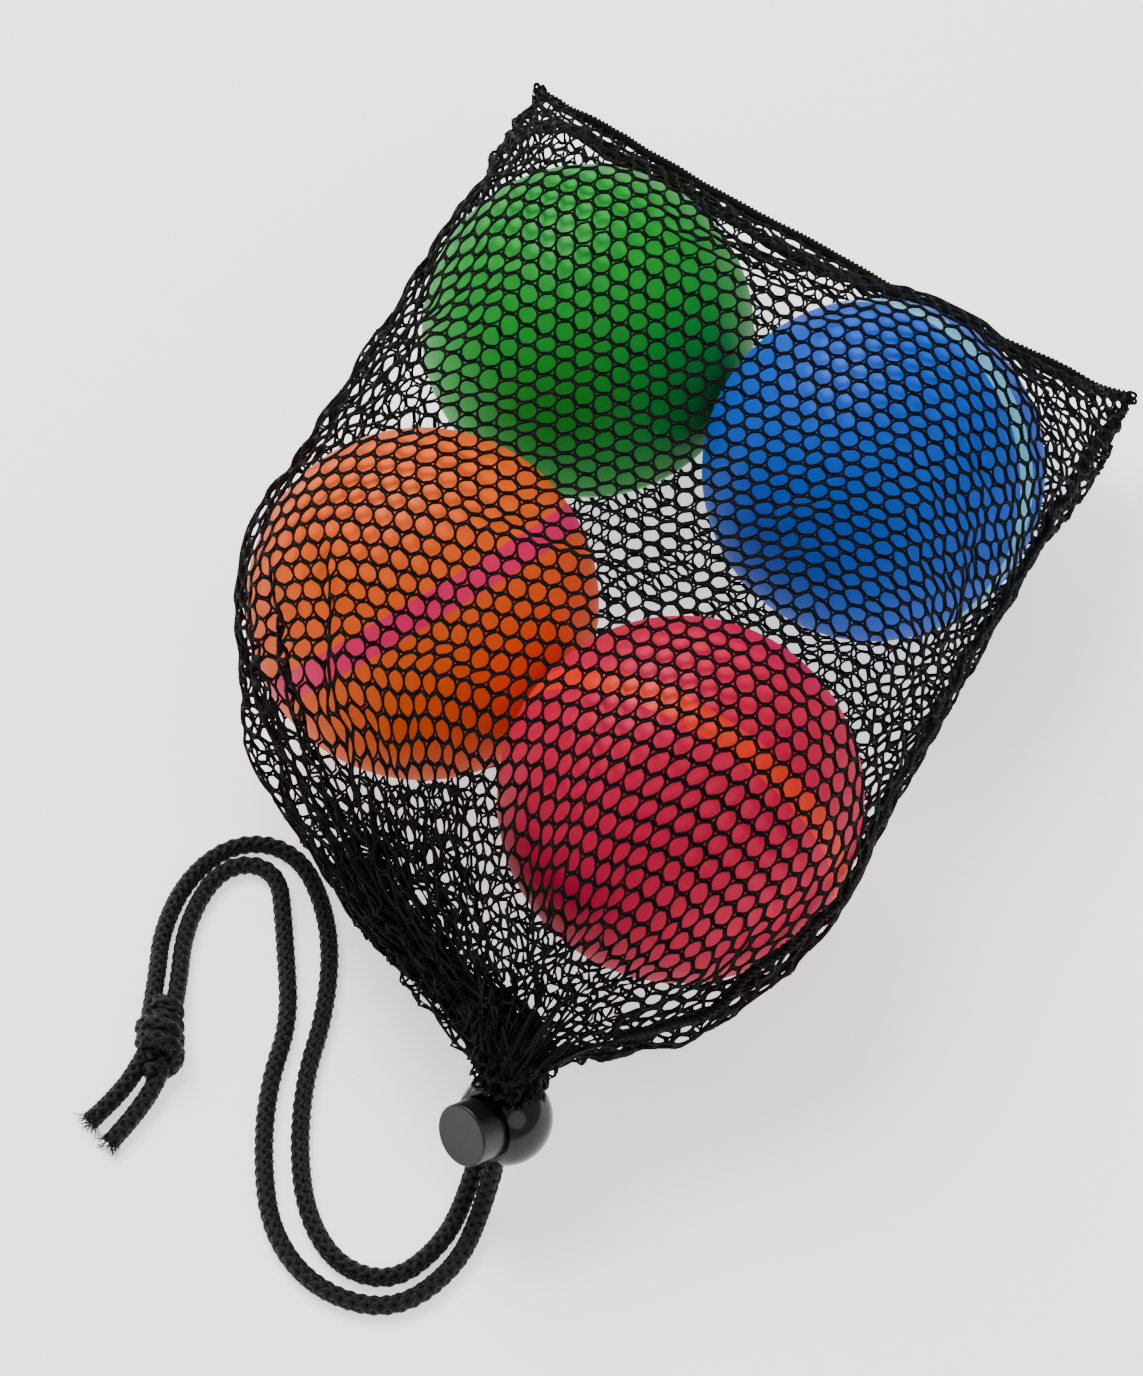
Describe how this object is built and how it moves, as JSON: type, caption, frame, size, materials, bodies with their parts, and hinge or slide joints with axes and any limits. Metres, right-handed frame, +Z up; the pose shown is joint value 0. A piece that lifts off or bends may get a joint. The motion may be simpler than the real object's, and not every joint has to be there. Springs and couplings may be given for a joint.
{
  "type": "mesh ball bag",
  "caption": "Black mesh drawstring bag lying on its side with banded play balls inside, a spherical cord lock and a knotted double cord.",
  "frame": {"origin": "centre of the filled bag's footprint on the surface it lies on, measured without the free cords", "axes": "+Y from the gathered mouth to the bottom seam, +Z up, +X to the side with the side seam"},
  "size_m": [0.1461, 0.2772, 0.0658],
  "materials": {
    "net_mesh": "black knitted polyester hexagon mesh, matt",
    "seam_thread": "black overlocked seam and gathered hem",
    "cord_braid": "black braided polyester cord, slight sheen",
    "lock_plastic": "glossy black moulded plastic",
    "button_plastic": "dark grey satin moulded plastic",
    "spring_steel": "bright spring wire",
    "green_rubber": "satin green rubber",
    "green_band": "contrast coloured band, satin",
    "blue_rubber": "satin blue rubber",
    "blue_band": "contrast coloured band, satin",
    "orange_rubber": "satin orange rubber",
    "orange_band": "contrast coloured band, satin",
    "red_rubber": "satin red rubber",
    "red_band": "contrast coloured band, satin"
  },
  "bodies": {
    "bag": {"net_panel": "net_mesh", "bottom_seam": "seam_thread", "side_seam": "seam_thread", "mouth_hem": "seam_thread", "drawstring_loop": "cord_braid", "drawstring_in_lock": "cord_braid", "strand_outer": "cord_braid", "strand_inner": "cord_braid", "end_knot": "cord_braid", "tail_outer": "cord_braid", "tail_inner": "cord_braid"},
    "green_ball": {"green_ball_half_a": "green_rubber", "green_ball_half_b": "green_rubber", "green_ball_band": "green_band"},
    "blue_ball": {"blue_ball_half_a": "blue_rubber", "blue_ball_half_b": "blue_rubber", "blue_ball_band": "blue_band"},
    "orange_ball": {"orange_ball_half_a": "orange_rubber", "orange_ball_half_b": "orange_rubber", "orange_ball_band": "orange_band"},
    "red_ball": {"red_ball_half_a": "red_rubber", "red_ball_half_b": "red_rubber", "red_ball_band": "red_band"},
    "cord_lock": {"lock_housing": "lock_plastic", "lock_spring": "spring_steel"},
    "button": {"lock_button": "button_plastic"}
  },
  "joints": [
    {"name": "green_ball_roll", "type": "hinge", "parent": "bag", "child": "green_ball", "pos_m": [-0.0304, 0.0499, 0.0329], "axis": [1, 0, 0], "continuous": true},
    {"name": "blue_ball_roll", "type": "hinge", "parent": "bag", "child": "blue_ball", "pos_m": [0.0311, 0.032, 0.0329], "axis": [1, 0, 0], "continuous": true},
    {"name": "orange_ball_roll", "type": "hinge", "parent": "bag", "child": "orange_ball", "pos_m": [-0.037, -0.0253, 0.0329], "axis": [1, 0, 0], "continuous": true},
    {"name": "red_ball_roll", "type": "hinge", "parent": "bag", "child": "red_ball", "pos_m": [0.0204, -0.0535, 0.0329], "axis": [1, 0, 0], "continuous": true},
    {"name": "lock_slide", "type": "slide", "parent": "bag", "child": "cord_lock", "axis": [-0.109, -0.3901, -0.9143], "range_m": [0, 0.004]},
    {"name": "button_press", "type": "slide", "parent": "cord_lock", "child": "button", "axis": [0.4551, 0.7981, -0.3948], "range_m": [0, 0.0027], "stiffness_N_per_m": 1500, "springref_m": -0.002, "deforming": ["lock_spring"]}
  ]
}
